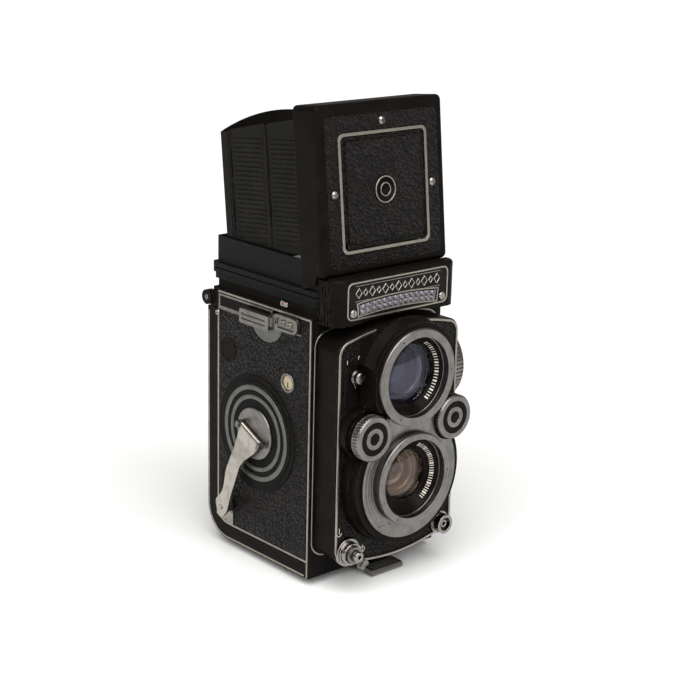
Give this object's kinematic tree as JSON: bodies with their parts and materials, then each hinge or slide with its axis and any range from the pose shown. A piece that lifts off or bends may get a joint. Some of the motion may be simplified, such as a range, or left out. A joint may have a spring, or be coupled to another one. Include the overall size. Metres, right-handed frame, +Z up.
{
  "type": "twin lens reflex camera",
  "caption": "Twin lens reflex roll-film camera with a raised folding hood, geared lens standard, folding winding crank, focusing knob and hinged film door.",
  "frame": {"origin": "mouth of the tripod socket, in the plane that the feet stand on", "axes": "+Z up, the lenses look along -Y, the winding crank is on the -X side and the focusing knob on the +X side"},
  "size_m": [0.1022, 0.105, 0.2172],
  "materials": {
    "black_paint": "semi-gloss black enamel on castings",
    "crinkle_paint": "black crackle paint on a casting",
    "leaf_paint": "satin black paint on thin sheet",
    "dial_paint": "matt black",
    "spool_paint": "black film spool",
    "nameplate_paint": "dark grey plate with a bright border",
    "wheel_metal": "satin knurled",
    "leatherette": "black pebbled leather",
    "satin_chrome": "satin plated",
    "steel": "turned",
    "mirror_glass": "front-silvered",
    "coated_glass": "coated lens glass",
    "clear_glass": "polished",
    "ground_glass": "ground underside",
    "meter_plastic": "moulded lenslets"
  },
  "bodies": {
    "camera_body": {"body_casting": "black_paint", "crank_side_cover": "black_paint", "focus_side_cover": "black_paint", "crank_side_leather": "leatherette", "focus_side_leather": "leatherette", "reflex_mirror": "mirror_glass", "door_hinge_pin": "steel", "crank_dial": "dial_paint", "counter_window": "satin_chrome", "strap_lugs": "satin_chrome", "meter_housing": "black_paint", "nameplate": "nameplate_paint", "meter_window": "meter_plastic", "body_screws": "satin_chrome", "hood_base": "crinkle_paint", "focusing_screen": "ground_glass", "hood_lid": "black_paint", "lid_leather": "leatherette", "lid_trim": "satin_chrome", "lid_screws": "satin_chrome"},
    "winding_crank": {"crank_hub": "satin_chrome"},
    "crank_lever": {"crank_arm": "satin_chrome"},
    "crank_grip": {"crank_handle": "satin_chrome"},
    "takeup_spool": {"takeup_spool": "spool_paint"},
    "supply_spool": {"supply_spool": "spool_paint"},
    "lower_roller": {"film_roller_lower": "steel"},
    "upper_roller": {"film_roller_upper": "steel"},
    "upper_spool_knob": {"spool_knob_upper": "satin_chrome"},
    "lower_spool_knob": {"spool_knob_lower": "satin_chrome"},
    "focus_knob": {"focus_knob": "satin_chrome"},
    "film_door": {"back_door": "black_paint", "back_door_leather": "leatherette", "tripod_socket": "satin_chrome", "door_feet": "satin_chrome"},
    "film_pressure_plate": {"pressure_plate": "dial_paint"},
    "door_latch": {"door_latch": "satin_chrome"},
    "lens_standard": {"standard_housing": "black_paint", "standard_leather": "leatherette", "lens_block": "black_paint", "lens_face_plate": "satin_chrome", "bayonets": "satin_chrome", "lens_barrels": "dial_paint", "viewing_lens": "coated_glass", "taking_lens": "coated_glass", "leaf_shutter": "steel", "release_collar": "satin_chrome", "flash_socket": "satin_chrome"},
    "aperture_wheel": {"aperture_wheel": "wheel_metal"},
    "shutter_speed_wheel": {"shutter_speed_wheel": "wheel_metal"},
    "release_button": {"release_button": "satin_chrome"},
    "release_lock": {"release_lock": "satin_chrome"},
    "sync_lever": {"sync_lever": "satin_chrome"},
    "sports_finder": {"sports_panel": "black_paint"},
    "magnifier": {"magnifier_plate": "black_paint", "magnifier_lens": "clear_glass"},
    "front_leaf_left": {"front_leaf_left": "leaf_paint"},
    "rear_leaf_left": {"rear_leaf_left": "leaf_paint"},
    "rear_panel": {"rear_panel": "leaf_paint"},
    "front_leaf_right": {"front_leaf_right": "leaf_paint"},
    "rear_leaf_right": {"rear_leaf_right": "leaf_paint"}
  },
  "joints": [
    {"name": "crank_turn", "type": "hinge", "parent": "camera_body", "child": "winding_crank", "pos_m": [-0.041, 0.0005, 0.0633], "axis": [1, 0, 0], "continuous": true},
    {"name": "crank_fold", "type": "hinge", "parent": "winding_crank", "child": "crank_lever", "pos_m": [-0.0423, 0.0005, 0.0633], "axis": [0, 0.9063, 0.4226], "range_deg": [0, 165]},
    {"name": "crank_grip_spin", "type": "hinge", "parent": "crank_lever", "child": "crank_grip", "pos_m": [-0.0423, 0.01969, 0.02215], "axis": [1, 0, 0], "continuous": true},
    {"name": "takeup_spool_turn", "type": "hinge", "parent": "camera_body", "child": "takeup_spool", "pos_m": [0, 0.0175, 0.0965], "axis": [1, 0, 0], "continuous": true},
    {"name": "supply_spool_turn", "type": "hinge", "parent": "camera_body", "child": "supply_spool", "pos_m": [0, -0.021, 0.0248], "axis": [1, 0, 0], "continuous": true},
    {"name": "lower_roller_turn", "type": "hinge", "parent": "camera_body", "child": "lower_roller", "pos_m": [0, 0.026, 0.0178], "axis": [1, 0, 0], "continuous": true},
    {"name": "upper_roller_turn", "type": "hinge", "parent": "camera_body", "child": "upper_roller", "pos_m": [0, 0.0262, 0.0832], "axis": [1, 0, 0], "continuous": true},
    {"name": "upper_spool_knob_pull", "type": "slide", "parent": "camera_body", "child": "upper_spool_knob", "axis": [1, 0, 0], "range_m": [0, 0.006], "stiffness_N_per_m": 150, "springref_m": -0.003},
    {"name": "lower_spool_knob_pull", "type": "slide", "parent": "camera_body", "child": "lower_spool_knob", "axis": [1, 0, 0], "range_m": [0, 0.006], "stiffness_N_per_m": 150, "springref_m": -0.003},
    {"name": "focus_turn", "type": "hinge", "parent": "camera_body", "child": "focus_knob", "pos_m": [0.045, -0.0195, 0.0869], "axis": [1, 0, 0], "range_deg": [0, 300]},
    {"name": "lens_travel", "type": "slide", "parent": "camera_body", "child": "lens_standard", "axis": [0, -1, 0], "range_m": [0, 0.007]},
    {"name": "aperture_turn", "type": "hinge", "parent": "lens_standard", "child": "aperture_wheel", "pos_m": [-0.0246, -0.0615, 0.0752], "axis": [0, 1, 0], "range_deg": [0, 140]},
    {"name": "shutter_speed_turn", "type": "hinge", "parent": "lens_standard", "child": "shutter_speed_wheel", "pos_m": [0.0246, -0.0615, 0.0752], "axis": [0, 1, 0], "range_deg": [0, 150]},
    {"name": "release_press", "type": "slide", "parent": "lens_standard", "child": "release_button", "axis": [0, 1, 0], "range_m": [0, 0.003], "stiffness_N_per_m": 300, "springref_m": -0.001},
    {"name": "release_lock_turn", "type": "hinge", "parent": "lens_standard", "child": "release_lock", "pos_m": [-0.0286, -0.0566, 0.0194], "axis": [0, 1, 0], "range_deg": [0, 60]},
    {"name": "sync_lever_turn", "type": "hinge", "parent": "lens_standard", "child": "sync_lever", "pos_m": [-0.0272, -0.0546, 0.1016], "axis": [0, 1, 0], "range_deg": [0, 60]},
    {"name": "door_open", "type": "hinge", "parent": "camera_body", "child": "film_door", "pos_m": [0, 0.0367, 0.1205], "axis": [1, 0, 0], "range_deg": [0, 115]},
    {"name": "pressure_plate_give", "type": "slide", "parent": "film_door", "child": "film_pressure_plate", "axis": [0, 1, 0], "range_m": [0, 0.0015], "stiffness_N_per_m": 800, "springref_m": -0.001},
    {"name": "latch_turn", "type": "hinge", "parent": "film_door", "child": "door_latch", "pos_m": [0, -0.0275, 0.0021], "axis": [1, 0, 0], "range_deg": [0, 70]},
    {"name": "sports_finder_swing", "type": "hinge", "parent": "camera_body", "child": "sports_finder", "pos_m": [0, -0.03914, 0.15592], "axis": [-1, 0, 0], "range_deg": [0, 42], "stiffness_Nm_per_rad": 0.01, "springref_deg": -22.92},
    {"name": "magnifier_swing", "type": "hinge", "parent": "sports_finder", "child": "magnifier", "pos_m": [0, -0.03252, 0.20107], "axis": [1, 0, 0], "range_deg": [0, 90]},
    {"name": "hood_fold", "type": "hinge", "parent": "camera_body", "child": "front_leaf_left", "pos_m": [-0.0336, -0.0271, 0.17232], "axis": [0, 0.108, 0.9942], "range_deg": [-76, 0]},
    {"name": "rear_leaf_left_fold", "type": "hinge", "parent": "front_leaf_left", "child": "rear_leaf_left", "pos_m": [-0.0336, -0.00085, 0.16947], "axis": [0, 0.108, 0.9942], "range_deg": [0, 152]},
    {"name": "rear_panel_fold", "type": "hinge", "parent": "rear_leaf_left", "child": "rear_panel", "pos_m": [-0.0336, 0.0254, 0.16662], "axis": [0, 0.108, 0.9942], "range_deg": [-76, 0]},
    {"name": "front_leaf_right_fold", "type": "hinge", "parent": "camera_body", "child": "front_leaf_right", "pos_m": [0.0336, -0.0271, 0.17232], "axis": [0, 0.108, 0.9942], "range_deg": [0, 76]},
    {"name": "rear_leaf_right_fold", "type": "hinge", "parent": "front_leaf_right", "child": "rear_leaf_right", "pos_m": [0.0336, -0.00085, 0.16947], "axis": [0, 0.108, 0.9942], "range_deg": [-152, 0]}
  ],
  "couplings": [
    {"joint": "takeup_spool_turn", "follows": "crank_turn", "ratio": 1},
    {"joint": "lens_travel", "follows": "focus_turn", "m_per_rad": 0.001335},
    {"joint": "rear_leaf_left_fold", "follows": "hood_fold", "ratio": -2},
    {"joint": "rear_panel_fold", "follows": "hood_fold", "ratio": 1},
    {"joint": "front_leaf_right_fold", "follows": "hood_fold", "ratio": -1},
    {"joint": "rear_leaf_right_fold", "follows": "hood_fold", "ratio": 2}
  ]
}
